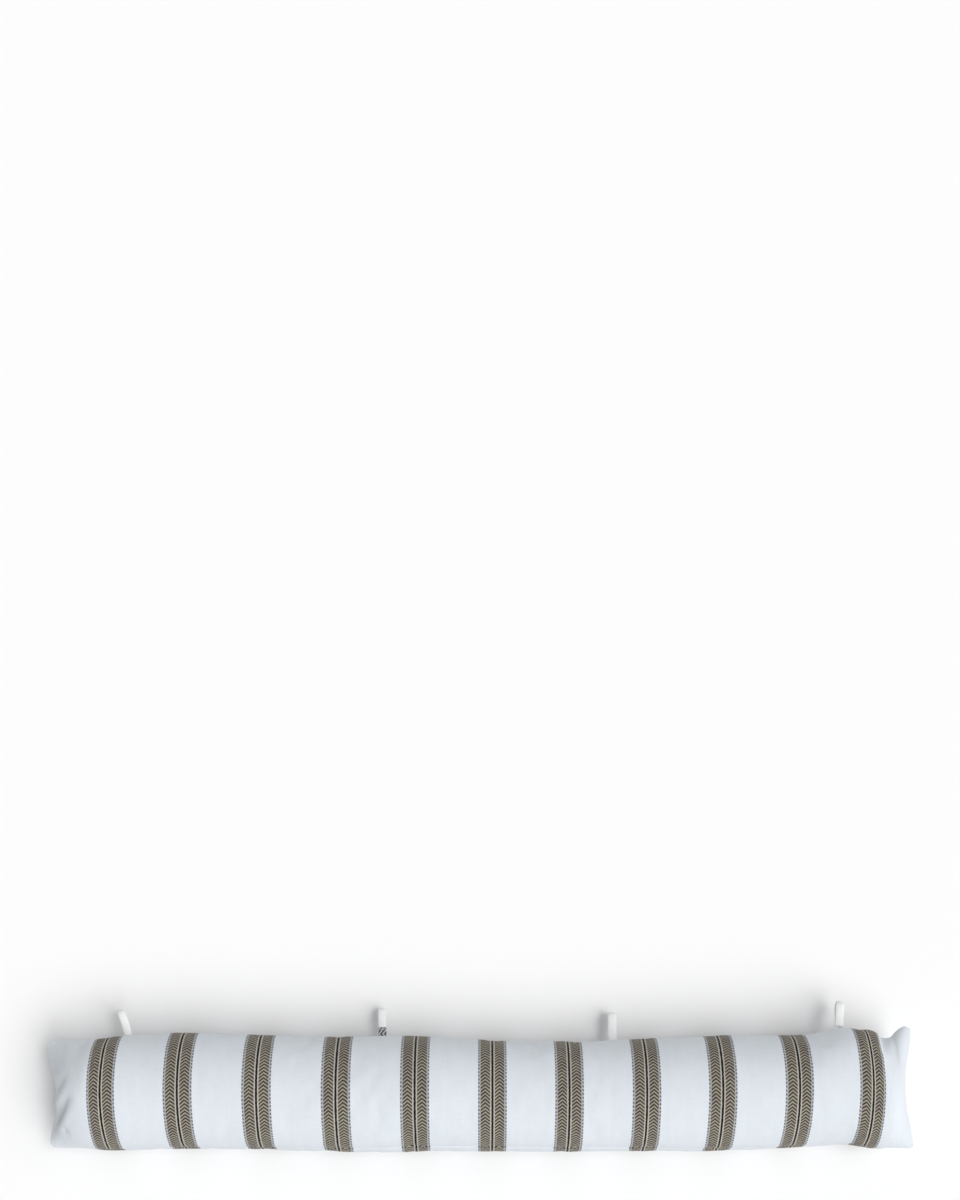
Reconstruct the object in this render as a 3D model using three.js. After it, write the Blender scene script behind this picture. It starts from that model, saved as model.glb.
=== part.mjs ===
import * as THREE from "three";

// A draught excluder: a long cotton tube, sewn along its back and front and across both ends, filled until
// it is round, and lying on the floor. Four small cloth loops are caught in its back seam.
// Millimetres, +Z up. X runs along the tube, +Y is the back, and z = 0 is the floor under its middle.

// Driving dimensions of the filled tube.
const HALF_LENGTH = 450; // from the middle to the two end seams
const SEAM_HEIGHT = 48; // of the seams' plane above the floor, at the middle of the tube
const SEWN_EDGE = 4.4; // the two cloths and their turnings, pressed together at an end
const BELLY = 55; // from the seams' plane to the underside, before the floor flattens it
const LEAST_FLAT = 0.998; // sine of the widest angle of the underside's arc, so its flat is never nothing

// How the tube closes at an end: the length over which it narrows, how far out its corners stand, how far
// the end seam's middle is drawn in, and how much further out the front corner is than the back one.
const LEFT_END = { narrows: 50, cornersOut: 0, drawnIn: 8.7, slant: -3.5 };
const RIGHT_END = { narrows: 38, cornersOut: 1.3, drawnIn: 8.4, slant: -1.9 };
const END_BLUNTNESS = 0.56; // power of the end's profile: 0.5 is a quarter ellipse, 1 a sharp wedge
const EAR_SPREAD = 0.6; // how much sooner the tube thins towards a corner, so that corners stand as ears

// The uneven outline of the filled tube as it lies: its back and front edges, the rise of its crown above
// the seams, and its roll in degrees. The middle has rolled back, which lifts its front seam.
const OUTLINE = [
  { along: -450, back: 46.0, front: -53.0, rise: 52, roll: -3 },
  { along: -446, back: 51.0, front: -56.0, rise: 52, roll: -3 },
  { along: -432, back: 53.5, front: -58.0, rise: 52, roll: -3 },
  { along: -418, back: 52.5, front: -58.5, rise: 52, roll: -2 },
  { along: -405, back: 54.5, front: -58.8, rise: 53, roll: 0 },
  { along: -382, back: 56.5, front: -59.3, rise: 54, roll: 3 },
  { along: -345, back: 56.2, front: -58.4, rise: 55, roll: 5 },
  { along: -313, back: 58.2, front: -57.8, rise: 56, roll: 6 },
  { along: -232, back: 56.0, front: -58.6, rise: 56, roll: 11 },
  { along: -149, back: 55.5, front: -61.0, rise: 55, roll: 18 },
  { along: -68, back: 55.5, front: -61.2, rise: 56, roll: 22 },
  { along: 12, back: 51.8, front: -60.9, rise: 54, roll: 23 },
  { along: 93, back: 50.2, front: -61.0, rise: 53, roll: 22 },
  { along: 172, back: 52.8, front: -60.4, rise: 54, roll: 18 },
  { along: 253, back: 55.8, front: -59.8, rise: 56, roll: 11 },
  { along: 332, back: 58.0, front: -56.0, rise: 55, roll: 6 },
  { along: 378, back: 66.5, front: -54.3, rise: 54, roll: 3 },
  { along: 398, back: 65.0, front: -56.8, rise: 53, roll: 0 },
  { along: 413, back: 61.5, front: -58.2, rise: 52, roll: -1 },
  { along: 423, back: 54.5, front: -57.8, rise: 52, roll: -1 },
  { along: 431, back: 55.0, front: -57.6, rise: 52, roll: -1 },
  { along: 436, back: 60.5, front: -57.4, rise: 52, roll: 0 },
  { along: 441, back: 64.2, front: -57.3, rise: 52, roll: 0 },
  { along: 446, back: 65.8, front: -57.3, rise: 52, roll: 0 },
  { along: 450, back: 63.0, front: -55.5, rise: 52, roll: 0 },
];

// How finely the cloth is faceted.
const FREE_STEPS = 32; // round the part of a section that is clear of the floor
const FLAT_STEPS = 4; // across the flat that rests on the floor
const END_STEPS = 12; // sections in the narrowing of one end
const BODY_STEPS = 40; // sections between the two narrowings

// The loops: a strip folded in two, its ends side by side in the seam. Each leans along the tube and droops,
// in degrees, and its own weight makes its tip sag.
const STRIP_THICK = 1.8; // the strip is turned in along both edges and folded, so it is four plies
const BEND_RADIUS = 4.3; // inside the fold at the tip
const SEAM_GAP = 0.35; // between a loop's root and the tube
const ROOT_LENGTH = 5; // where the two ends of the strip lie side by side before they part
const ARC_STEPS = 20; // round the fold
const LEG_STEPS = 6; // along each leg of the strip
const LOOPS = [
  { name: "loop_1", along: -371.5, lean: 16, droop: 18, sag: 4, out: 29, wide: 8.2 },
  { name: "loop_2", along: -103.5, lean: 3, droop: 18, sag: 4, out: 35.5, wide: 8.8 },
  { name: "loop_3", along: 140.5, lean: -1, droop: 18, sag: 4, out: 34.6, wide: 9.4 },
  { name: "loop_4", along: 379, lean: -9, droop: 22, sag: 5, out: 27.4, wide: 8.8 },
];

const WHITE_COTTON = new THREE.MeshStandardMaterial({ color: 0xe6ebf1, roughness: 0.9, metalness: 0 });
const LOOP_COTTON = new THREE.MeshStandardMaterial({ color: 0xdfe4e7, roughness: 0.9, metalness: 0 });

// The outline between two rows of the table, eased so that each row is met without a kink.
function outlineAt(along) {
  const last = OUTLINE.length - 2;
  const after = OUTLINE.findIndex((row) => row.along > along);
  const i = after < 1 ? (along < 0 ? 0 : last) : after - 1;
  const rows = [i - 1, i, i + 1, i + 2].map((k) => OUTLINE[THREE.MathUtils.clamp(k, 0, last + 1)]);
  const share = (along - rows[1].along) / (rows[2].along - rows[1].along);
  const eased = (column) => {
    const slope = (a, b) => (b.along > a.along ? (b[column] - a[column]) / (b.along - a.along) : 0);
    const span = rows[2].along - rows[1].along;
    const startSlope = slope(rows[0], rows[2]) * span;
    const endSlope = slope(rows[1], rows[3]) * span;
    const s2 = share * share;
    const s3 = s2 * share;
    return (
      (2 * s3 - 3 * s2 + 1) * rows[1][column] +
      (s3 - 2 * s2 + share) * startSlope +
      (3 * s2 - 2 * s3) * rows[2][column] +
      (s3 - s2) * endSlope
    );
  };
  return { back: eased("back"), front: eased("front"), rise: eased("rise"), roll: eased("roll") };
}

// How near a place along the tube is to its end seam: 0 where the narrowing starts and 1 at the seam.
function nearness(along, narrows) {
  return Math.max(0, 1 - (HALF_LENGTH - Math.abs(along)) / narrows);
}

// The sizes of the section at a place along the tube, in the seams' own rolled plane.
function sectionAt(along) {
  const outline = outlineAt(along);
  const end = along < 0 ? LEFT_END : RIGHT_END;
  const roll = THREE.MathUtils.degToRad(outline.roll);
  const reach = (outline.back - outline.front) / 2;
  const across = Math.sqrt(reach ** 2 - (outline.rise * Math.sin(roll)) ** 2) / Math.cos(roll);
  const middle = (outline.back + outline.front) / 2;
  return { along, end, roll, across, middle, rise: outline.rise, near: nearness(along, end.narrows) };
}

// The height of a section above or below its seams. Near an end it thins sooner towards the corners.
function heightOf(section, whole, cosine) {
  const thinned = nearness(section.along, section.end.narrows * (1 + EAR_SPREAD * cosine ** 2));
  const edge = SEWN_EDGE / 2;
  return edge + (whole - edge) * (1 - thinned ** 2) ** END_BLUNTNESS;
}

// The point of a section at an angle round it: 0 is the back seam, a quarter turn the crown, a half turn the
// front seam. Towards an end the round section opens out to the flat width of the cloth.
function pointOn(section, angle) {
  const sine = Math.sin(angle);
  const cosine = Math.cos(angle);
  const { end, roll } = section;
  const eased = section.near ** 2;
  const laidFlat = (Math.asin(cosine) * 2) / Math.PI;
  const p = section.across * THREE.MathUtils.lerp(cosine, laidFlat, eased);
  const q = heightOf(section, sine < 0 ? BELLY : section.rise, cosine) * sine;
  const further = end.cornersOut - end.slant * cosine - end.drawnIn * (1 - cosine * cosine);
  return new THREE.Vector3(
    section.along + Math.sign(section.along) * eased * further,
    section.middle + p * Math.cos(roll) + q * Math.sin(roll),
    SEAM_HEIGHT - p * Math.sin(roll) + q * Math.cos(roll),
  );
}

// The ring of points round a section: over the crown from floor to floor, then straight across the flat.
function ringOn(section) {
  const sag = section.across * Math.sin(section.roll);
  const depth = heightOf(section, BELLY, 0) * Math.cos(section.roll);
  const tilt = Math.atan2(sag, depth);
  const meets = Math.asin(Math.min(LEAST_FLAT, SEAM_HEIGHT / Math.hypot(sag, depth)));
  const start = tilt - meets;
  const end = tilt + Math.PI + meets;
  const ring = [];
  for (let i = 0; i <= FREE_STEPS; i++) {
    const point = pointOn(section, start + ((end - start) * i) / FREE_STEPS);
    ring.push(point.setZ(Math.max(0, point.z)));
  }
  const from = ring[FREE_STEPS];
  const to = ring[0];
  for (let i = 1; i < FLAT_STEPS; i++) ring.push(from.clone().lerp(to, i / FLAT_STEPS));
  return ring;
}

// The places of the sections: evenly along the body, and closer together towards each end seam.
function stations() {
  const leftInner = -HALF_LENGTH + LEFT_END.narrows;
  const rightInner = HALF_LENGTH - RIGHT_END.narrows;
  const places = [];
  for (let i = 0; i < END_STEPS; i++) {
    places.push(-HALF_LENGTH + LEFT_END.narrows * (i / END_STEPS) ** 2);
  }
  for (let i = 0; i <= BODY_STEPS; i++) {
    places.push(THREE.MathUtils.lerp(leftInner, rightInner, i / BODY_STEPS));
  }
  for (let i = END_STEPS - 1; i >= 0; i--) {
    places.push(HALF_LENGTH - RIGHT_END.narrows * (i / END_STEPS) ** 2);
  }
  return places;
}

// The filled tube: a skin through all its rings, closed across the two end seams.
function filledTube() {
  const rings = stations().map((along) => ringOn(sectionAt(along)));
  const round = rings[0].length;
  const index = [];
  for (let i = 0; i + 1 < rings.length; i++) {
    for (let k = 0; k < round; k++) {
      const a = i * round + k;
      const b = i * round + ((k + 1) % round);
      index.push(a, b, a + round, b, b + round, a + round);
    }
  }
  const points = rings.flat();
  const closeEnd = (ring, first, turned) => {
    const middle = ring.reduce((sum, point) => sum.add(point), new THREE.Vector3()).divideScalar(round);
    for (let k = 0; k < round; k++) {
      const a = first + k;
      const b = first + ((k + 1) % round);
      index.push(points.length, turned ? b : a, turned ? a : b);
    }
    points.push(middle);
  };
  closeEnd(rings[0], 0, true);
  closeEnd(rings.at(-1), (rings.length - 1) * round, false);
  const geometry = new THREE.BufferGeometry().setFromPoints(points);
  geometry.setIndex(index);
  geometry.computeVertexNormals();
  const tube = new THREE.Mesh(geometry, WHITE_COTTON);
  tube.name = "filled_tube";
  return tube;
}

// A straight run of points from one place to another, without the last.
function leg(from, to) {
  return Array.from({ length: LEG_STEPS }, (_, i) => from.clone().lerp(to, i / LEG_STEPS));
}

// One face of the strip in side view: out along the lower leg, round the fold and back along the upper leg.
function stripFace(root, apart, centre, radius) {
  const low = leg(new THREE.Vector2(root, -apart), new THREE.Vector2(centre, -radius));
  const high = leg(new THREE.Vector2(root, apart), new THREE.Vector2(centre, radius));
  const fold = new THREE.EllipseCurve(centre, 0, radius, radius, -Math.PI / 2, Math.PI / 2);
  return [...low, ...fold.getPoints(ARC_STEPS), ...high.reverse()];
}

// The side view of a loop: x is the way out of the seam and y is up. The strip's ends lie together at the
// root, part, and run to the round fold at the tip, which sags.
function loopProfile(out, sag) {
  const centre = out - BEND_RADIUS - STRIP_THICK;
  const sagged = ({ x, y }) => new THREE.Vector2(x, y - sag * (x / out) ** 2);
  const root = [new THREE.Vector2(0, STRIP_THICK), new THREE.Vector2(0, -STRIP_THICK)];
  const outside = stripFace(ROOT_LENGTH, STRIP_THICK, centre, BEND_RADIUS + STRIP_THICK);
  const inside = stripFace(ROOT_LENGTH, 0, centre, BEND_RADIUS).slice(0, -1);
  const profile = new THREE.Shape([...root, ...outside].map(sagged));
  profile.holes.push(new THREE.Path(inside.map(sagged)));
  return profile;
}

// One loop, standing out of the back seam with its own lean and droop. Its root stays clear of the tube.
function loop({ name, along, lean, droop, sag, out, wide }) {
  const turn = THREE.MathUtils.degToRad(lean);
  const dip = THREE.MathUtils.degToRad(droop);
  const strip = new THREE.ExtrudeGeometry(loopProfile(out, sag), { depth: wide, bevelEnabled: false });
  strip.translate(0, 0, -wide / 2);
  strip.rotateX(Math.PI / 2);
  strip.rotateZ(Math.PI / 2 + turn);
  strip.rotateX(-dip);
  const mesh = new THREE.Mesh(strip, LOOP_COTTON);
  mesh.name = name;
  const section = sectionAt(along);
  const seam = pointOn(section, 0);
  const tipped = STRIP_THICK * Math.sin(Math.abs(dip - section.roll));
  const clear = SEAM_GAP + (wide / 2) * Math.sin(Math.abs(turn)) + tipped;
  mesh.position.set(along, seam.y + clear * Math.cos(section.roll), seam.z - clear * Math.sin(section.roll));
  return mesh;
}

const draughtExcluder = new THREE.Group();
draughtExcluder.add(filledTube(), ...LOOPS.map(loop));

export default draughtExcluder;
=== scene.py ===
# %% [markdown]
# # A draught excluder
#
# The object is a long cotton tube, filled until it is round, that lies along the foot of a door. Its cloth
# is white with woven taupe stripes, it is sewn along its back and front and across both ends, and four small
# cloth loops stand out of its back seam. This lesson rebuilds it as a maker would: cut the cloth, sew it,
# fill it, and then finish it.
#
# The frame holds the measured solids. One unit is a metre, +X runs along the tube, +Y is the back and +Z is
# up. The tables below are in millimetres, because that is how a maker measures.

import math

import bmesh
import bpy
import numpy as np
from mathutils import Matrix, Vector, noise


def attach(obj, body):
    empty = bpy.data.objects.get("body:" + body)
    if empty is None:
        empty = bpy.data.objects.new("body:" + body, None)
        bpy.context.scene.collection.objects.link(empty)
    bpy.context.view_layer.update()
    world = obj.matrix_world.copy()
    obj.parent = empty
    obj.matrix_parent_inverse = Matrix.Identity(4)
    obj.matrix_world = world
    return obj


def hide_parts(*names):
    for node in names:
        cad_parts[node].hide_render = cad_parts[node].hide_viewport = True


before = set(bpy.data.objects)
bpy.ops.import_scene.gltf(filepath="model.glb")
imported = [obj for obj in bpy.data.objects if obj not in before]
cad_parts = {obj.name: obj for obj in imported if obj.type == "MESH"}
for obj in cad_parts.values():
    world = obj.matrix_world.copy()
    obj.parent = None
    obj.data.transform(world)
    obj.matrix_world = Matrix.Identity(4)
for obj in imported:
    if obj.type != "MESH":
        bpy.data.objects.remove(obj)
scene = bpy.context.scene
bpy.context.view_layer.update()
MM = 0.001

# %% [markdown]
# ## The shape of the filled tube
#
# A tube like this could be sculpted from a cylinder, but then its stripes would have nothing to follow. It is
# easier to keep the cloth as a grid, as it lies on the cutting table, and to say where each point of the grid
# goes. The table below gives the outline of the filled tube: its back and front edges, the rise of its crown
# above the seams, and its roll in degrees. The middle of the tube has rolled back, so its front seam can be
# seen from above.

# %% The outline table
OUTLINE_COLUMNS = ("along", "back", "front", "rise", "roll")
OUTLINE = np.array(
    [
        (-450, 46.0, -53.0, 52, -3),
        (-446, 51.0, -56.0, 52, -3),
        (-432, 53.5, -58.0, 52, -3),
        (-418, 52.5, -58.5, 52, -2),
        (-405, 54.5, -58.8, 53, 0),
        (-382, 56.5, -59.3, 54, 3),
        (-345, 56.2, -58.4, 55, 5),
        (-313, 58.2, -57.8, 56, 6),
        (-232, 56.0, -58.6, 56, 11),
        (-149, 55.5, -61.0, 55, 18),
        (-68, 55.5, -61.2, 56, 22),
        (12, 51.8, -60.9, 54, 23),
        (93, 50.2, -61.0, 53, 22),
        (172, 52.8, -60.4, 54, 18),
        (253, 55.8, -59.8, 56, 11),
        (332, 58.0, -56.0, 55, 6),
        (378, 66.5, -54.3, 54, 3),
        (398, 65.0, -56.8, 53, 0),
        (413, 61.5, -58.2, 52, -1),
        (423, 54.5, -57.8, 52, -1),
        (431, 55.0, -57.6, 52, -1),
        (436, 60.5, -57.4, 52, 0),
        (441, 64.2, -57.3, 52, 0),
        (446, 65.8, -57.3, 52, 0),
        (450, 63.0, -55.5, 52, 0),
    ],
    dtype=float,
)
HALF_LENGTH = 450.0


def outline(along):
    """The table's columns at the places asked for, eased so that each row is met without a kink."""
    at = OUTLINE[:, 0]
    slope = np.empty_like(OUTLINE)
    slope[1:-1] = (OUTLINE[2:] - OUTLINE[:-2]) / (at[2:] - at[:-2])[:, None]
    slope[0] = (OUTLINE[1] - OUTLINE[0]) / (at[1] - at[0])
    slope[-1] = (OUTLINE[-1] - OUTLINE[-2]) / (at[-1] - at[-2])
    i = np.clip(np.searchsorted(at, along, side="right") - 1, 0, len(at) - 2)
    span = (at[i + 1] - at[i])[:, None]
    s = (along - at[i])[:, None] / span
    rows = (2 * s**3 - 3 * s**2 + 1) * OUTLINE[i] + (s**3 - 2 * s**2 + s) * span * slope[i]
    rows += (3 * s**2 - 2 * s**3) * OUTLINE[i + 1] + (s**3 - s**2) * span * slope[i + 1]
    return dict(zip(OUTLINE_COLUMNS, rows.T))


print("the outline has", len(OUTLINE), "rows over", 2 * HALF_LENGTH, "mm")

# %% [markdown]
# Both ends are sewn straight across, so the round tube has to close to a flat seam there. Over the last few
# centimetres the crown comes down to the seam, and it comes down sooner towards the corners, so they are left
# standing as thin ears. The round section opens out to the flat width of the cloth, and the filling draws the
# middle of the seam in.

# %% A point of the tube
SEAM_HEIGHT = 48.0
BELLY = 55.0
SEWN_EDGE = 0.5
ENDS = {
    # name: left end, right end
    "narrows": (50.0, 38.0),
    "corners_out": (0.0, 1.3),
    "drawn_in": (8.7, 8.4),
    "slant": (-3.5, -1.9),
}
END_BLUNTNESS = 0.56
EAR_SPREAD = 0.6


def end_value(name, along):
    left, right = ENDS[name]
    return np.where(along < 0, left, right)


def tube_point(along, angle):
    """Points of the filled tube. An angle of 0 is the back seam, a quarter turn is the crown."""
    row = outline(along)
    sine, cosine = np.sin(angle), np.cos(angle)
    from_end, narrows = HALF_LENGTH - np.abs(along), end_value("narrows", along)
    near = np.clip(1 - from_end / narrows, 0, 1)
    thinned = np.clip(1 - from_end / (narrows * (1 + EAR_SPREAD * cosine**2)), 0, 1)
    full = (1 - thinned**2) ** END_BLUNTNESS
    edge = SEWN_EDGE / 2 * (near < 1)
    up = edge + (row["rise"] - edge) * full
    down = edge + (BELLY - edge) * full
    roll = np.radians(row["roll"])
    reach = (row["back"] - row["front"]) / 2
    across = np.sqrt(reach**2 - (row["rise"] * np.sin(roll)) ** 2) / np.cos(roll)
    laid_flat = np.arcsin(cosine) * 2 / math.pi
    p = across * (cosine + near**2 * (laid_flat - cosine))
    q = np.where(sine < 0, down, up) * sine
    hollow = end_value("drawn_in", along) * (1 - cosine**2)
    corner = end_value("corners_out", along) - end_value("slant", along) * cosine
    x = along + np.sign(along) * near**2 * (corner - hollow)
    y = (row["back"] + row["front"]) / 2 + p * np.cos(roll) + q * np.sin(roll)
    z = SEAM_HEIGHT - p * np.sin(roll) + q * np.cos(roll)
    return np.stack([x, y, np.maximum(z, 0)], axis=-1)


crown = tube_point(np.zeros(1), np.full(1, math.pi / 2))[0]
print("the crown at the middle stands at", crown.round(1), "mm")

# %% [markdown]
# ## Cutting the cloth
#
# The grid needs small squares for the filling to push against, and much narrower ones beside the two long
# seams, where the cloth turns in sharply. Stations are set at equal steps of cloth along the crown, so the
# squares keep their size where the ends come down.

# %% Stations along the cloth
BODY_STEP = 3.6
END_STEP = 2.0
END_CLOTH = 76.0
WALK_POINTS = 6001

fine = np.linspace(-HALF_LENGTH, HALF_LENGTH, WALK_POINTS)
profile = tube_point(fine, np.full(fine.shape, math.pi / 2))
walked = np.concatenate([[0], np.cumsum(np.linalg.norm(np.diff(profile, axis=0), axis=1))])
cloth_along = walked - np.interp(0, fine, walked)
end_steps = np.arange(0, END_CLOTH, END_STEP)
body_count = round((walked[-1] - 2 * END_CLOTH) / BODY_STEP)
body_steps = np.linspace(END_CLOTH, walked[-1] - END_CLOTH, body_count + 1)
station_cloth = np.concatenate([end_steps, body_steps, walked[-1] - end_steps[::-1]]) + cloth_along[0]
station_x = np.interp(station_cloth, cloth_along, fine)
station_x[[0, -1]] = -HALF_LENGTH, HALF_LENGTH
print(len(station_x), "stations along", round(walked[-1]), "mm of cloth")

# %% Columns round the tube
GIRTH = 352.0
ROUND_STEP = 3.2
SEAM_STEPS = (0.0, 0.6, 1.3, 2.2, 3.4, 5.0, 7.2, 10.0)

half = GIRTH / 2
plain_count = round((half - 2 * SEAM_STEPS[-1]) / ROUND_STEP)
plain = np.linspace(SEAM_STEPS[-1], half - SEAM_STEPS[-1], plain_count + 1)
panel = np.concatenate([SEAM_STEPS[:-1], plain, half - np.array(SEAM_STEPS[-2::-1])])
column_cloth = np.concatenate([panel, half + panel[1:]])
column_angle = column_cloth / GIRTH * 2 * math.pi
print(len(column_cloth), "columns round", GIRTH, "mm of cloth")

# %% [markdown]
# The stripes are woven 80 mm apart, but the filled cloth is bunched: it is shorter towards the right end and
# along the front. The table gives where each stripe's dark line lies on the crown, and two small factors turn
# the lines as they go round the tube. Beyond the outermost lines the end seams gather the cloth a little
# more, by one factor for the left end and one for the right.

# %% Where the stripes lie
STRIPE_PERIOD = 80.0
STRIPE_PLACE = 12.0
STRIPE_LINES = np.array(
    [-387.1, -308.2, -227.6, -146.9, -66.4, 12.7, 91.1, 170.0, 247.1, 325.4, 401.2]
)
FRONT_BUNCHING = 1.5e-4
SIDE_BUNCHING = 1.2e-6
END_BUNCHING = (1.06, 1.17)

stripe_numbers = np.arange(len(STRIPE_LINES)) - len(STRIPE_LINES) // 2
woven_lines = STRIPE_PLACE + STRIPE_PERIOD * stripe_numbers
station_weave = np.interp(station_x, STRIPE_LINES, woven_lines)
for last, beyond in ((0, station_x < STRIPE_LINES[0]), (-1, station_x > STRIPE_LINES[-1])):
    from_last = station_cloth - np.interp(STRIPE_LINES[last], fine, cloth_along)
    station_weave[beyond] = woven_lines[last] + END_BUNCHING[last] * from_last[beyond]
print(len(STRIPE_LINES), "stripes, from", STRIPE_LINES[0], "mm to", STRIPE_LINES[-1], "mm")

# %% [markdown]
# ## Sewing the cloth into a tube
#
# The flat grid is rolled onto the outline. The two edges that meet at the back, and the two panels that meet
# at each end, land on each other, so merging doubled points sews them. Each corner of each face remembers its
# place on the flat cloth in a UV map, in metres, and the woven pattern later follows that map and not the
# room. Each point also keeps its station and its angle, for the seams.

# %% Roll and sew
SEWING_DISTANCE = 0.0005 * MM


def sewn_tube():
    bm = bmesh.new()
    cloth = bm.loops.layers.uv.new("cloth")
    rows, columns = len(station_x) - 1, len(column_cloth) - 1
    bmesh.ops.create_grid(bm, x_segments=rows, y_segments=columns, size=1.0)
    tube = [tube_point(station_x, np.full(rows + 1, angle)) for angle in column_angle]
    tube = np.stack(tube, axis=1)
    for face in bm.faces:
        for corner in face.loops:
            i = round((corner.vert.co.x + 1) / 2 * rows)
            k = round((corner.vert.co.y + 1) / 2 * columns)
            y = tube[i, k, 1]
            bunched = station_x[i] * (SIDE_BUNCHING * y * y - FRONT_BUNCHING * y)
            corner[cloth].uv = ((station_weave[i] + bunched) * MM, column_cloth[k] * MM)
    flat = np.array([v.co[:2] for v in bm.verts])
    i = np.rint((flat[:, 0] + 1) / 2 * rows).astype(int)
    k = np.rint((flat[:, 1] + 1) / 2 * columns).astype(int)
    rolled = tube[i, k] * MM
    station = bm.verts.layers.float.new("station")
    angle = bm.verts.layers.float.new("angle")
    for n, vert in enumerate(bm.verts):
        vert.co = rolled[n]
        vert[station] = station_x[i[n]]
        vert[angle] = column_angle[k[n]]
    bmesh.ops.remove_doubles(bm, verts=bm.verts, dist=SEWING_DISTANCE)
    bmesh.ops.recalc_face_normals(bm, faces=bm.faces)
    if bm.calc_volume(signed=True) < 0:
        bmesh.ops.reverse_faces(bm, faces=bm.faces)
    open_edges = sum(not edge.is_manifold for edge in bm.edges)
    litres = round(bm.calc_volume() * 1000, 2)
    print("the sewn cover holds", litres, "litres and has", open_edges, "open edges")
    mesh = bpy.data.meshes.new("filled_cover")
    bm.to_mesh(mesh)
    bm.free()
    return mesh


cover = bpy.data.objects.new("filled_cover", sewn_tube())
scene.collection.objects.link(cover)
print("the sewn cover has", len(cover.data.vertices), "points and", len(cover.data.polygons), "faces")

# %% [markdown]
# ## Filling
#
# A real cover takes its shape from the filling that presses on it and from the seams that hold it back.
# Blender's cloth can do the same: pressure from inside, no gravity, and the end seams and the flat underside
# held. The outline was measured on the filled tube, so the even swelling of its section and the movement
# along the tube are taken off again. Half of the rest is kept, up to two millimetres: the places where the
# cloth pulls and slackens.

# %% Read and move a mesh's points
def positions(mesh):
    flat = np.empty(len(mesh.vertices) * 3)
    mesh.vertices.foreach_get("co", flat)
    return flat.reshape(-1, 3)


def stored(mesh, name):
    values = np.empty(len(mesh.vertices))
    mesh.attributes[name].data.foreach_get("value", values)
    return values


def move_points(mesh, places):
    mesh.vertices.foreach_set("co", np.ascontiguousarray(places, dtype=float).ravel())
    mesh.update()


print("the cover's lowest point is at", positions(cover.data)[:, 2].min().round(4), "m")

# %% Press the filling against the cover
FILL_FRAMES = 20
COTTON = {
    "quality": 6,
    "mass": 0.25,
    "tension_stiffness": 20,
    "compression_stiffness": 20,
    "shear_stiffness": 8,
    "bending_stiffness": 0.6,
    "shrink_min": -0.012,
    "use_pressure": True,
    "uniform_pressure_force": 4.0,
}
HELD_END = 9.0 * MM
HELD_FLOOR = 1.0 * MM


def pressed(obj):
    """How far the filling moves each point of the cover."""
    start = positions(obj.data)
    ends = np.abs(start[:, 0]) > HALF_LENGTH * MM - HELD_END
    held = obj.vertex_groups.new(name="held")
    held.add([int(i) for i in np.flatnonzero(ends | (start[:, 2] < HELD_FLOOR))], 1.0, "REPLACE")
    cloth = obj.modifiers.new("filling", "CLOTH")
    for name, value in COTTON.items():
        setattr(cloth.settings, name, value)
    cloth.settings.effector_weights.gravity = 0
    cloth.settings.vertex_group_mass = held.name
    cloth.point_cache.frame_end = FILL_FRAMES
    for number in range(1, FILL_FRAMES + 1):
        scene.frame_set(number)
    seen = obj.evaluated_get(bpy.context.evaluated_depsgraph_get()).to_mesh()
    moved = positions(seen) - start
    obj.modifiers.remove(cloth)
    obj.vertex_groups.remove(held)
    scene.frame_set(1)
    return moved


moved = pressed(cover)
print("the filling pressed the cloth by up to", (np.abs(moved).max() / MM).round(2), "mm")

# %% Keep the unevenness
EVEN_LENGTH = 380 * MM
END_FADE = 60 * MM
FILL_KEPT = 0.5
FILL_CAP = 2.0 * MM
NEARLY_STILL = 1e-9

start = positions(cover.data)
_, column = np.unique(stored(cover.data, "angle").round(4), return_inverse=True)
body = np.abs(start[:, 0]) < EVEN_LENGTH
points = np.bincount(column[body], minlength=column.max() + 1)
even = [np.bincount(column[body], moved[body, axis], len(points)) / points for axis in range(3)]
moved -= np.stack(even, axis=1)[column]
moved[:, 0] = 0
moved *= FILL_KEPT * np.clip((HALF_LENGTH * MM - np.abs(start[:, 0])) / END_FADE, 0, 1)[:, None]
far = np.linalg.norm(moved, axis=1)
move_points(cover.data, start + moved * np.minimum(1, FILL_CAP / np.maximum(far, NEARLY_STILL))[:, None])
print("the unevenness that is kept is", (far.mean() / MM).round(2), "mm on average")

# %% [markdown]
# ## Seams, puckers and creases
#
# The finer relief goes on after the filling, because the cloth's squares are too coarse for it to survive a
# simulation. Both long seams pull the cloth in along a narrow groove, with small puckers beside them. The
# filling is never quite even, so the cover has slow lumps. At the ends the cloth folds where the round tube
# meets the straight seam: a table of folds gives each one's line as it is seen from above.

# %% Where each point of the cover belongs
SEAM_ANGLES = {"back": 0.0, "front": math.pi}
SEWN_OVER = 6.0
RELIEF_GROWS = 40.0


def cloth_noise(points, scale, seed):
    """Smooth noise from -1 to 1 at each point, with lumps of about the scale asked for."""
    shift = Vector((seed, 2 * seed, 3 * seed))
    return np.array([noise.noise(Vector(p) / scale + shift) for p in points])


def bump_profile(distance, width):
    return np.exp(-((distance / width) ** 2))


cover_station = stored(cover.data, "station")
cover_angle = stored(cover.data, "angle")
end_distance = HALF_LENGTH - np.abs(cover_station)
away_from_ends = np.clip((end_distance - SEWN_OVER) / RELIEF_GROWS, 0, 1)
print("points in the narrowing ends:", int((away_from_ends < 1).sum()))

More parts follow.
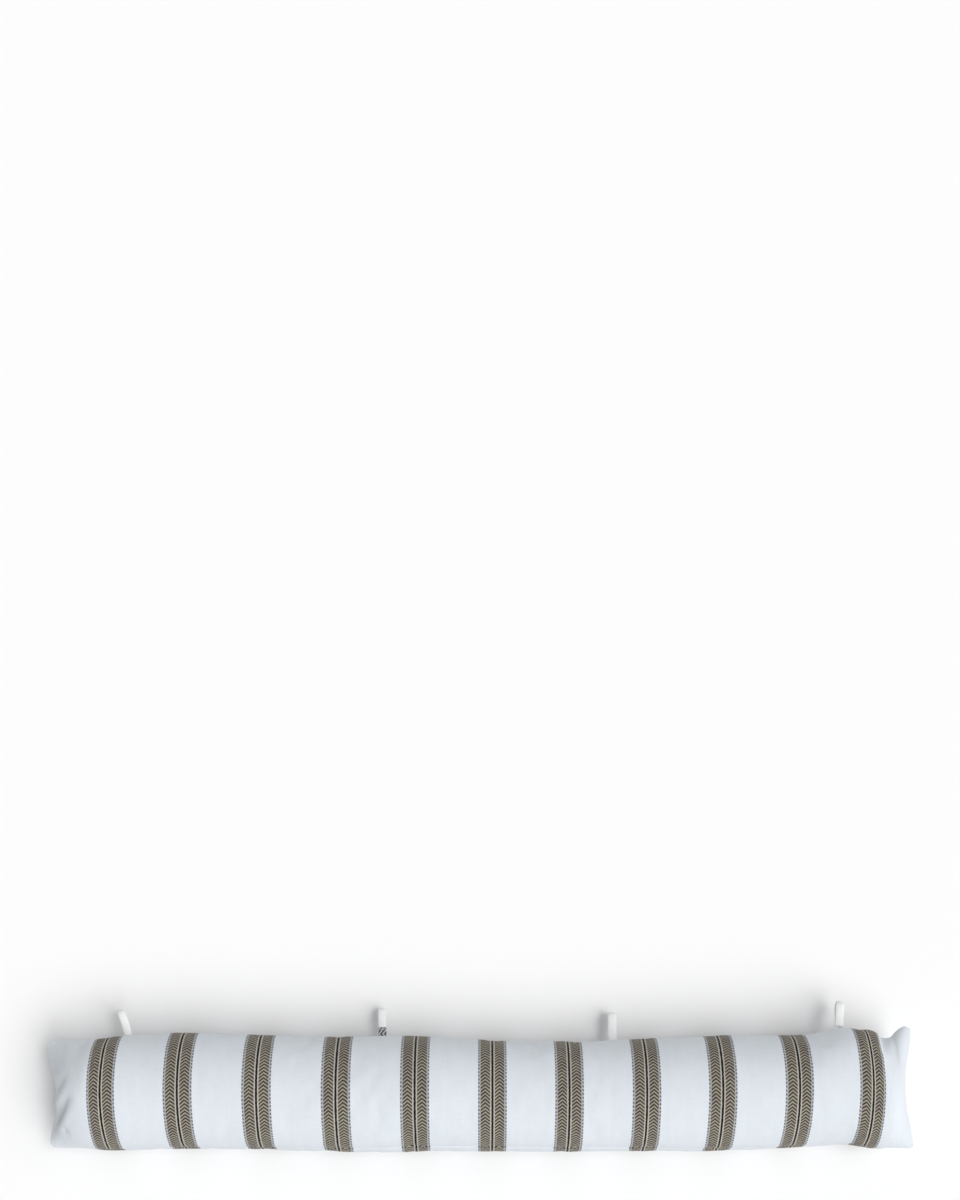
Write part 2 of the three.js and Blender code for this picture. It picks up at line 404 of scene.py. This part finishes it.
# %% Grooves and puckers along the two long seams
SEAM_DEPTH = 2.0
SEAM_WIDTH = 1.5
SEAM_PULL = 1.2
SEAM_PULL_WIDTH = 8.0
PUCKER = 0.55
PUCKER_LENGTH = 9.0
PUCKER_AWAY = 6.0
PUCKER_WIDTH = 7.0
PANELS_APART = 40.0
SEAM_SEED = 1.3

relief = np.zeros(len(cover_station))
for number, angle in enumerate(SEAM_ANGLES.values()):
    turn = np.abs((cover_angle - angle + math.pi) % (2 * math.pi) - math.pi)
    distance = turn / (2 * math.pi) * GIRTH
    groove = SEAM_DEPTH * bump_profile(distance, SEAM_WIDTH)
    groove += SEAM_PULL * bump_profile(distance, SEAM_PULL_WIDTH)
    side = np.sign(np.sin(cover_angle - angle))
    along_seam = np.stack([cover_station, side * PANELS_APART, np.zeros_like(side)], axis=1)
    pucker = PUCKER * cloth_noise(along_seam, PUCKER_LENGTH, number + SEAM_SEED)
    pucker *= bump_profile(distance - PUCKER_AWAY, PUCKER_WIDTH)
    relief += (pucker - groove) * away_from_ends
print("the seams' grooves are", SEAM_DEPTH + SEAM_PULL, "mm deep")

# %% Lumps of the filling
LUMPS = ((46.0, 0.8), (17.0, 0.22))
LUMP_SEED = 4.7

rest = positions(cover.data) / MM
for number, (size, height) in enumerate(LUMPS):
    relief += height * cloth_noise(rest, size, number + LUMP_SEED) * away_from_ends
print("relief runs from", relief.min().round(2), "to", relief.max().round(2), "mm")

# %% Folds at the ends
FOLDS = (
    # name, start x and y, end x and y, depth, width
    ("left_corner_fold", (-424.0, -9.0), (-444.0, -37.0), 6.4, 5.0),
    ("left_middle_fold", (-428.0, 14.0), (-439.0, -3.0), 2.6, 4.4),
    ("left_front_dimple", (-424.0, -40.0), (-430.0, -37.0), 2.6, 2.6),
    ("right_ear_fold", (424.0, 58.0), (418.0, 42.0), 3.5, 4.0),
)
FOLD_TAPER = 0.12
FOLD_SWELL = 0.2
SWELL_AWAY = 2.2
FOLD_FADE = 9.0


def fold_relief(points, start, end, depth, width):
    """A soft trough along a line, with a low swelling on each side of it."""
    start, end = np.array(start), np.array(end)
    run = end - start
    share = np.clip(((points[:, :2] - start) @ run) / (run @ run), 0, 1)
    distance = np.linalg.norm(points[:, :2] - start - share[:, None] * run, axis=1)
    taper = np.sin(np.pi * (FOLD_TAPER + (1 - 2 * FOLD_TAPER) * share))
    swell = FOLD_SWELL * bump_profile(distance - SWELL_AWAY * width, width)
    return depth * taper * (swell - bump_profile(distance, width))


upper = np.clip((rest[:, 2] - SEAM_HEIGHT) / FOLD_FADE, 0, 1)
for name, start, end, depth, width in FOLDS:
    fold = fold_relief(rest, start, end, depth, width) * upper
    relief += fold
    print(name, "is", -fold.min().round(2), "mm deep")

# %% Put the relief on the cover and lay it on the floor
normals = np.empty(len(cover.data.vertices) * 3)
cover.data.vertices.foreach_get("normal", normals)
shaped = rest + normals.reshape(-1, 3) * relief[:, None]
shaped[:, 2] = np.maximum(shaped[:, 2], 0)
move_points(cover.data, shaped * MM)
cover.data.shade_smooth()
print("the cover spans", np.ptp(shaped, axis=0).round(1), "mm")

# %% [markdown]
# ## The loops
#
# Each loop is a strip of the same cotton, turned in along its edges, folded in two and caught in the back
# seam. It droops, and its tip sags under its own weight. A strip could be drawn as a ring, but then it would
# have no cloth coordinates, so it starts as a flat grid too, and its length is bent round the path that its
# fold takes. Its turned edges make it a little round in the middle. Solidify gives it the thickness of its
# four plies, and Subdivision Surface softens its edges.

# %% The table of loops
# Places and sizes in millimetres, angles in degrees. A strip's cloth ends at woven_to on the striped cloth:
# one strip was cut across a stripe, and the others were cut where the cloth is plain.
PLAIN_CLOTH = 600.0
LOOP_COLUMNS = ("name", "along", "lean", "curl", "droop", "sag", "out", "wide", "woven_to")
LOOP_ROWS = (
    ("loop_1", -371.5, 16, -4.0, 18, 4.0, 29.0, 7.8, PLAIN_CLOTH),
    ("loop_2", -103.5, 2, -1.0, 18, 4.0, 35.5, 8.2, 13.0),
    ("loop_3", 140.5, -1, 0.0, 18, 4.0, 34.6, 9.0, PLAIN_CLOTH),
    ("loop_4", 379.0, -9, 0.0, 22, 5.0, 27.4, 8.6, PLAIN_CLOTH),
)
LOOPS = [dict(zip(LOOP_COLUMNS, row)) for row in LOOP_ROWS]
print("there are", len(LOOPS), "loops, from", min(loop["out"] for loop in LOOPS), "mm long")

# %% The path of a folded strip
STRIP_THICK = 2.0
BEND_RADIUS = 4.3
ROOT_LENGTH = 5.0
TUCKED_IN = 3.0
LEG_POINTS = 60
BEND_POINTS = 40
STRIP_STEPS = 44


def strip_path(out, sag):
    """The strip's middle line, out of the seam and up, the way it faces, and its length."""
    radius = BEND_RADIUS + STRIP_THICK / 2
    centre = out - BEND_RADIUS - STRIP_THICK
    leg = np.linspace(-TUCKED_IN, centre, LEG_POINTS)
    part = np.clip((leg - ROOT_LENGTH) / (centre - ROOT_LENGTH), 0, 1)
    gap = STRIP_THICK / 2 + (radius - STRIP_THICK / 2) * part * part * (3 - 2 * part)
    turn = np.linspace(-math.pi / 2, math.pi / 2, BEND_POINTS)[1:-1]
    bend = np.stack([centre + radius * np.cos(turn), radius * np.sin(turn)], axis=1)
    path = np.concatenate([np.stack([leg, -gap], axis=1), bend, np.stack([leg, gap], axis=1)[::-1]])
    path[:, 1] -= sag * (np.maximum(path[:, 0], 0) / out) ** 2
    walked = np.concatenate([[0], np.cumsum(np.linalg.norm(np.diff(path, axis=0), axis=1))])
    even = np.linspace(0, walked[-1], STRIP_STEPS + 1)
    line = np.stack([np.interp(even, walked, path[:, axis]) for axis in (0, 1)], axis=1)
    ahead = np.gradient(line, axis=0)
    facing = np.stack([ahead[:, 1], -ahead[:, 0]], axis=1) / np.linalg.norm(ahead, axis=1)[:, None]
    return line, facing, walked[-1]


longest = max(LOOPS, key=lambda loop: loop["out"])
length = strip_path(longest["out"], longest["sag"])[2]
print("the longest strip is", round(length, 1), "mm before it is folded")

# %% Fold a strip
STRIP_COLUMNS = 6
SEAM_GAP = 0.35
STRIP_CROWN = 0.8
TIP_NARROWING = 0.16
TIP_LENGTH = 3.5
WANDER = 0.35
WANDER_STEP = 0.35


def loop_place(along, lean, droop, wide):
    """Where a loop's root meets the back seam, and the way it points."""
    roll = np.radians(outline(np.array([along]))["roll"][0])
    seam = tube_point(np.array([along]), np.zeros(1))[0]
    clear = SEAM_GAP + wide / 2 * math.sin(math.radians(abs(lean)))
    clear += STRIP_THICK * math.sin(abs(math.radians(droop) - roll))
    seam += clear * np.array([0, math.cos(roll), -math.sin(roll)])
    turn = Matrix.Rotation(-math.radians(droop), 4, "X") @ Matrix.Rotation(math.radians(90 + lean), 4, "Z")
    return Matrix.Translation(Vector(seam) * MM) @ turn @ Matrix.Rotation(math.pi / 2, 4, "X")


def folded_strip(name, along, lean, curl, droop, sag, out, wide, woven_to):
    path, facing, length = strip_path(out, sag)
    bm = bmesh.new()
    cloth = bm.loops.layers.uv.new("cloth")
    bmesh.ops.create_grid(bm, x_segments=STRIP_STEPS, y_segments=STRIP_COLUMNS, size=1.0)
    for face in bm.faces:
        for corner in face.loops:
            run = (corner.vert.co.x - 1) / 2 * length
            corner[cloth].uv = ((woven_to + run) * MM, corner.vert.co.y * wide / 2 * MM)
    for vert in bm.verts:
        step = round((vert.co.x + 1) / 2 * STRIP_STEPS)
        reach, height = path[step] + STRIP_CROWN * (1 - vert.co.y**2) * facing[step]
        narrowing = 1 - TIP_NARROWING * math.exp(-(((out - reach) / TIP_LENGTH) ** 2))
        wander = WANDER * noise.noise(Vector((along, step * WANDER_STEP, 0))) + curl * (reach / out) ** 2
        across = vert.co.y * narrowing * wide / 2 + wander
        vert.co = Vector((reach, height, across)) * MM
    bmesh.ops.transform(bm, matrix=loop_place(along, lean, droop, wide), verts=bm.verts)
    mesh = bpy.data.meshes.new(name + "_strip")
    bm.to_mesh(mesh)
    bm.free()
    mesh.shade_smooth()
    return mesh, length


print("a strip's grid is", STRIP_STEPS, "by", STRIP_COLUMNS)

# %% Fold the four strips
strips = {}
for loop in LOOPS:
    mesh, length = folded_strip(**loop)
    strip = bpy.data.objects.new(mesh.name, mesh)
    scene.collection.objects.link(strip)
    plies = strip.modifiers.new("plies", "SOLIDIFY")
    plies.thickness = STRIP_THICK * MM
    plies.offset = 0
    soft = strip.modifiers.new("soft_edges", "SUBSURF")
    soft.levels = soft.render_levels = 2
    strips[loop["name"]] = strip, length
    print(loop["name"], "is folded from", round(length, 1), "mm of strip")

# %% [markdown]
# ## The cloth
#
# The cover is a plain-woven cotton: matt, white with a cool cast, and slightly uneven, because spun yarn is
# thicker in some places than in others. Every eight centimetres a taupe stripe is woven in: a dark line
# between two pale ones, a herringbone column on each side, and a dotted edge. The stripes could be painted on
# a picture, but worked out from the flat cloth's own coordinates in millimetres they bend with the cloth and
# stay sharp at any distance. One small function adds a node, sets it and links it.

# %% Colours and nodes
def linear(hex_colour):
    """A colour written as sRGB hex, as the linear values that Blender's nodes take."""
    parts = [int(hex_colour[i : i + 2], 16) / 255 for i in (1, 3, 5)]
    return tuple(c / 12.92 if c <= 0.04045 else ((c + 0.055) / 1.055) ** 2.4 for c in parts) + (1.0,)


def add(tree, kind, inputs=(), **settings):
    """One more node. An input takes a plain value, a socket, or a node, whose first live output is linked."""
    node = tree.nodes.new(kind)
    for name, value in settings.items():
        setattr(node, name, value)
    for name, value in dict(inputs).items():
        if isinstance(value, bpy.types.Node):
            value = next(socket for socket in value.outputs if socket.enabled)
        if isinstance(value, bpy.types.NodeSocket):
            tree.links.new(value, node.inputs[name])
        else:
            node.inputs[name].default_value = value
    return node


def new_material(name):
    made = bpy.data.materials.new(name)
    made.use_nodes = True
    made.node_tree.nodes.clear()
    return made, made.node_tree


# A Mix node has inputs of one name for several kinds of data, so its colour inputs are found by number.
FACTOR, COLOUR_A, COLOUR_B = 0, 6, 7
print("taupe in linear light:", [round(c, 3) for c in linear("#78756c")])

# %% [markdown]
# The cloth's own coordinates come first, in millimetres along the tube and round it. Noise stretched along
# the threads gives the uneven yarn: slubs run along the tube, warp threads run round it, fibres are fine and
# even, and slow patches and streaks change the tone from one hand's width to the next.

# %% Cloth coordinates and uneven yarn
YARN_SIZES = {
    # noise, its size along the tube and round it in millimetres
    "slub": (14.0, 1.8),
    "warp": (1.6, 16.0),
    "fibre": (2.6, 2.2),
    "patch": (9.0, 14.0),
    "streak": (9.0, 45.0),
}
YARN_DETAIL = 2.0

cotton, tree = new_material("woven_striped_cotton")
cloth = add(tree, "ShaderNodeUVMap", uv_map="cloth")
place = add(tree, "ShaderNodeVectorMath", {"Vector": cloth, "Scale": 1 / MM}, operation="SCALE")
flat = add(tree, "ShaderNodeSeparateXYZ", {"Vector": place})
along, round_tube = flat.outputs["X"], flat.outputs["Y"]
yarn = {}
for name, (length, width) in YARN_SIZES.items():
    sizes = {0: place, 1: (1 / length, 1 / width, 1)}
    scaled = add(tree, "ShaderNodeVectorMath", sizes, operation="MULTIPLY")
    yarn[name] = add(tree, "ShaderNodeTexNoise", {"Vector": scaled, "Scale": 1.0, "Detail": YARN_DETAIL})
print("the yarn has", len(yarn), "kinds of unevenness")

# %% [markdown]
# The stripe is described by the distance from its dark line, in millimetres. Each column of it ends where the
# next one starts, and uneven yarn makes those edges waver by about a millimetre.

# %% Distance from a stripe's dark line
half_period = STRIPE_PERIOD / 2
striped_length = STRIPE_PERIOD * len(STRIPE_LINES) / 2
WAVER = 1.1

from_first = add(tree, "ShaderNodeMath", {0: along, 1: STRIPE_PLACE}, operation="SUBTRACT")
wrapped = {0: from_first, 1: half_period, 2: -half_period}
in_stripe = add(tree, "ShaderNodeMath", wrapped, operation="WRAP")
uneven_edge = {0: yarn["fibre"], 1: WAVER, 2: -WAVER / 2}
waver = add(tree, "ShaderNodeMath", uneven_edge, operation="MULTIPLY_ADD")
wavering = add(tree, "ShaderNodeMath", {0: in_stripe, 1: waver}, operation="ADD")
either_side = add(tree, "ShaderNodeMath", {0: wavering}, operation="ABSOLUTE")
from_middle = add(tree, "ShaderNodeMath", {0: from_first}, operation="ABSOLUTE")
plain_end = add(tree, "ShaderNodeMath", {0: from_middle, 1: striped_length}, operation="GREATER_THAN")
far_away = add(tree, "ShaderNodeMath", {0: plain_end, 1: half_period}, operation="MULTIPLY")
distance = add(tree, "ShaderNodeMath", {0: either_side, 1: far_away}, operation="MAXIMUM")
print("the stripes repeat every", STRIPE_PERIOD, "mm of cloth")

# %% [markdown]
# A herringbone is a twill that turns round at the middle of its column, so its rows run up to a point and
# down again. A sine wave of the height round the tube, lowered by the distance from that point, gives the
# rows. The real rows are about 2.4 mm apart, and the real threads about half a millimetre. Both are too fine
# for a pixel here, so the rows, the dots and the plain weave are drawn coarser than they are.

# %% Herringbone
HERRINGBONE_LIGHT = "#b0ab99"
HERRINGBONE_BROWN = "#a69b91"
HERRINGBONE_DARK = "#26241f"
HERRINGBONE_PITCH = 3.6
HERRINGBONE_SLOPE = 0.78
HERRINGBONE_APEX = 7.4
ROW_SHIFT = 2.0
ROW_CONTRAST = 0.45
ROW_TONE = 0.29
FIBRE_CONTRAST = 0.2
BROWN_PATCHES = {"From Min": 0.42, "From Max": 0.62}

across_stripe = add(tree, "ShaderNodeMath", {0: in_stripe}, operation="ABSOLUTE")
from_apex = add(tree, "ShaderNodeMath", {0: across_stripe, 1: HERRINGBONE_APEX}, operation="SUBTRACT")
arm = add(tree, "ShaderNodeMath", {0: from_apex}, operation="ABSOLUTE")
sloping = {0: arm, 1: -HERRINGBONE_SLOPE, 2: round_tube}
rise = add(tree, "ShaderNodeMath", sloping, operation="MULTIPLY_ADD")
turns = add(tree, "ShaderNodeMath", {0: rise, 1: 2 * math.pi / HERRINGBONE_PITCH}, operation="MULTIPLY")
uneven_rows = {0: yarn["patch"], 1: ROW_SHIFT, 2: turns}
shifted = add(tree, "ShaderNodeMath", uneven_rows, operation="MULTIPLY_ADD")
wave = add(tree, "ShaderNodeMath", {0: shifted}, operation="SINE")
rows = add(tree, "ShaderNodeMath", {0: wave, 1: ROW_CONTRAST, 2: ROW_TONE}, operation="MULTIPLY_ADD")
fibres = {0: yarn["fibre"], 1: FIBRE_CONTRAST, 2: rows}
lightness = add(tree, "ShaderNodeMath", fibres, operation="MULTIPLY_ADD", use_clamp=True)
print("the herringbone's rows are", HERRINGBONE_PITCH, "mm apart")

# %% The herringbone's two yarns
brownness = add(tree, "ShaderNodeMapRange", {"Value": yarn["patch"], **BROWN_PATCHES})
light_yarns = {FACTOR: brownness, COLOUR_A: linear(HERRINGBONE_LIGHT), COLOUR_B: linear(HERRINGBONE_BROWN)}
light_yarn = add(tree, "ShaderNodeMix", light_yarns, data_type="RGBA", label="light yarn")
both_yarns = {FACTOR: lightness, COLOUR_A: linear(HERRINGBONE_DARK), COLOUR_B: light_yarn}
herringbone = add(tree, "ShaderNodeMix", both_yarns, data_type="RGBA")
print("the light yarn runs from", HERRINGBONE_LIGHT, "to", HERRINGBONE_BROWN)

# %% Columns side by side
GROUND = "#d8dee4"
DOT = "#565a63"
DOT_PITCH = 3.8
DOT_CONTRAST = 0.34
DOT_TONE = 0.28
COLUMNS = (
    # name, ends at, colour; the outermost first
    ("dotted edge", 14.8, None),
    ("outer pale line", 13.3, "#a6a5a5"),
    ("herringbone", 12.2, None),
    ("inner pale line", 2.45, "#b4b0a8"),
    ("dark line", 1.1, "#1d1915"),
)
OUTERMOST = COLUMNS[0][0]

dot_turns = add(tree, "ShaderNodeMath", {0: round_tube, 1: 2 * math.pi / DOT_PITCH}, operation="MULTIPLY")
dot_wave = add(tree, "ShaderNodeMath", {0: dot_turns}, operation="SINE")
gaps = {0: dot_wave, 1: DOT_CONTRAST, 2: DOT_TONE}
dot_gap = add(tree, "ShaderNodeMath", gaps, operation="MULTIPLY_ADD", use_clamp=True)
dot_colours = {FACTOR: dot_gap, COLOUR_A: linear(DOT), COLOUR_B: linear(GROUND)}
dots = add(tree, "ShaderNodeMix", dot_colours, data_type="RGBA")
drawn = {"herringbone": herringbone, OUTERMOST: dots}
woven = linear(GROUND)
for name, ends_at, colour in COLUMNS:
    inside = add(tree, "ShaderNodeMath", {0: distance, 1: ends_at}, operation="LESS_THAN")
    layers = {FACTOR: inside, COLOUR_A: woven, COLOUR_B: drawn.get(name) or linear(colour)}
    woven = add(tree, "ShaderNodeMix", layers, data_type="RGBA", label=name)
print("a stripe is", 2 * COLUMNS[0][1], "mm wide")

# %% [markdown]
# Cotton is matt: light goes into the yarn and comes out softened, with a little brightness from loose fibres
# where the cloth turns away. So the roughness is high, the gloss is low and there is a trace of sheen. The
# tone changes by a few parts in a hundred with the yarn, and a fine bump carries the plain weave.

# %% The cotton's surface
YARN_TONE = 0.06
STREAK_TONE = 0.08
LEAST_TONE = 0.90
WEAVE_PITCH = 1.9
YARN_HEIGHT = 0.3 * MM
WEAVE_STRENGTH = 0.3

uneven = add(tree, "ShaderNodeMath", {0: yarn["slub"], 1: yarn["warp"]}, operation="ADD")
fine_tone = add(tree, "ShaderNodeMath", {0: uneven, 1: YARN_TONE, 2: LEAST_TONE}, operation="MULTIPLY_ADD")
streaks = {0: yarn["streak"], 1: STREAK_TONE, 2: fine_tone}
tone = add(tree, "ShaderNodeMath", streaks, operation="MULTIPLY_ADD")
toned = {FACTOR: 1.0, COLOUR_A: woven, COLOUR_B: tone}
colour = add(tree, "ShaderNodeMix", toned, data_type="RGBA", blend_type="MULTIPLY")
threads = []
for direction in (along, round_tube):
    crossing = add(tree, "ShaderNodeMath", {0: direction, 1: 2 * math.pi / WEAVE_PITCH}, operation="MULTIPLY")
    threads.append(add(tree, "ShaderNodeMath", {0: crossing}, operation="SINE"))
over_under = {0: threads[0], 1: threads[1], 2: uneven}
weave = add(tree, "ShaderNodeMath", over_under, operation="MULTIPLY_ADD")
bump = add(tree, "ShaderNodeBump", {"Strength": WEAVE_STRENGTH, "Distance": YARN_HEIGHT, "Height": weave})
# Plain-woven, unglazed cotton: dull and soft, with no highlight, and paler along its turned edges.
cotton_surface = {
    "Base Color": colour,
    "Roughness": 0.9,
    "Specular IOR Level": 0.2,
    "Sheen Weight": 0.1,
    "Sheen Roughness": 0.5,
    "Normal": bump,
}
add(tree, "ShaderNodeOutputMaterial", {"Surface": add(tree, "ShaderNodeBsdfPrincipled", cotton_surface)})
cover.data.materials.append(cotton)
print("the cotton has", len(tree.nodes), "nodes")

# %% [markdown]
# The loops are strips of the same weave, and they look whiter than the cover. A second material could be
# built from the start, but a copy keeps the weave the same, so theirs is a copy with a whiter ground and a
# whiter light yarn. That extra whiteness is painted light: it brightens the loops as more light on them
# would.
# The strips' own cloth coordinates put three of them on plain cloth, and the root of the second one on a
# stripe.

# %% The loops' cotton
# Painted light: a whiter ground and yarn than the cover's, brightening the loops as more light on them would.
PAINTED_LIT_STRIP_GROUND = "#f0f2f2"
PAINTED_LIT_STRIP_YARN = "#e2e4e0"

# Plain-woven cotton again, turned in and pressed flat: as dull as the cover, with a whiter ground and yarn
# that are painted light.
lit_strip_cotton = cotton.copy()
lit_strip_cotton.name = "strip_cotton_painted_lighter"
for node in lit_strip_cotton.node_tree.nodes:
    if node.label == OUTERMOST:
        node.inputs[COLOUR_A].default_value = linear(PAINTED_LIT_STRIP_GROUND)
    if node.label == "light yarn":
        node.inputs[COLOUR_A].default_value = linear(PAINTED_LIT_STRIP_YARN)
        node.inputs[COLOUR_B].default_value = linear(PAINTED_LIT_STRIP_YARN)
for strip, _ in strips.values():
    strip.data.materials.append(lit_strip_cotton)
print("the loops share", lit_strip_cotton.name)

# %% [markdown]
# ## The room
#
# The excluder lies on plain white paper, and its shadow falls behind it and to the left. One light could not
# give both the soft shadow of the tube and the smaller ones of the loops, so there are three: a window at
# the front right, a second one at the right, and a smaller lamp nearly overhead. Suns are used, because a
# wide sun gives the same soft shadow edge at any distance, and a pale sky fills the rest.

# %% Floor
FLOOR_REACH = 30.0

bm = bmesh.new()
bmesh.ops.create_grid(bm, x_segments=1, y_segments=1, size=FLOOR_REACH)
floor_mesh = bpy.data.meshes.new("floor")
bm.to_mesh(floor_mesh)
bm.free()
floor = bpy.data.objects.new("floor", floor_mesh)
scene.collection.objects.link(floor)
# Uncoated white paper: evenly bright and without any gloss.
paper, tree = new_material("white_paper")
matt = {"Base Color": linear("#f3f3f3"), "Roughness": 1.0, "Specular IOR Level": 0.0}
add(tree, "ShaderNodeOutputMaterial", {"Surface": add(tree, "ShaderNodeBsdfPrincipled", matt)})
floor.data.materials.append(paper)
print("the floor is", floor.dimensions.x, "m wide")

# %% Light
LIGHTS = (
    # name, the side it comes from, strength, width in degrees
    ("front_window", (0.45, -0.45, 0.77), 1.48, 40),
    ("right_window", (0.70, 0.0, 0.71), 0.48, 50),
    ("lamp", (0.35, 0.0, 0.94), 0.76, 20),
)
SKY_STRENGTH = 0.40

for name, side, strength, width in LIGHTS:
    light = bpy.data.objects.new(name, bpy.data.lights.new(name, "SUN"))
    light.data.energy = strength
    light.data.angle = math.radians(width)
    light.rotation_euler = Vector(side).to_track_quat("Z", "Y").to_euler()
    scene.collection.objects.link(light)
sky = bpy.data.worlds.new("pale_sky")
sky.use_nodes = True
background = sky.node_tree.nodes["Background"]
background.inputs["Color"].default_value = linear("#ffffff")
background.inputs["Strength"].default_value = SKY_STRENGTH
scene.world = sky
scene.view_settings.view_transform = "Standard"
print("the room has", len(LIGHTS), "soft lights and a pale sky")

# %% [markdown]
# The camera stands over the middle of the tube and looks down and a little towards the back, so the tube lies
# low in the picture and its crown, both edges and all four loops can be seen.

# %% Camera
CAMERA_HEIGHT = 2.05
CAMERA_TILT = math.radians(14.848)
CAMERA_LENS = 55.56
CAMERA_SENSOR = 36.0

camera = bpy.data.objects.new("camera", bpy.data.cameras.new("camera"))
camera.data.lens = CAMERA_LENS
camera.data.sensor_width = CAMERA_SENSOR
camera.location = (0, 0, CAMERA_HEIGHT)
camera.rotation_euler = (CAMERA_TILT, 0, 0)
scene.collection.objects.link(camera)
scene.camera = camera
print("the camera looks down from", CAMERA_HEIGHT, "m")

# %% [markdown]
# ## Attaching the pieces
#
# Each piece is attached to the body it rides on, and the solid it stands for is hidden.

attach(cover, "root")
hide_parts("filled_tube")
for name, (strip, length) in strips.items():
    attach(strip, "root")
    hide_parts(name)
print("declared", 1 + len(strips), "pieces")
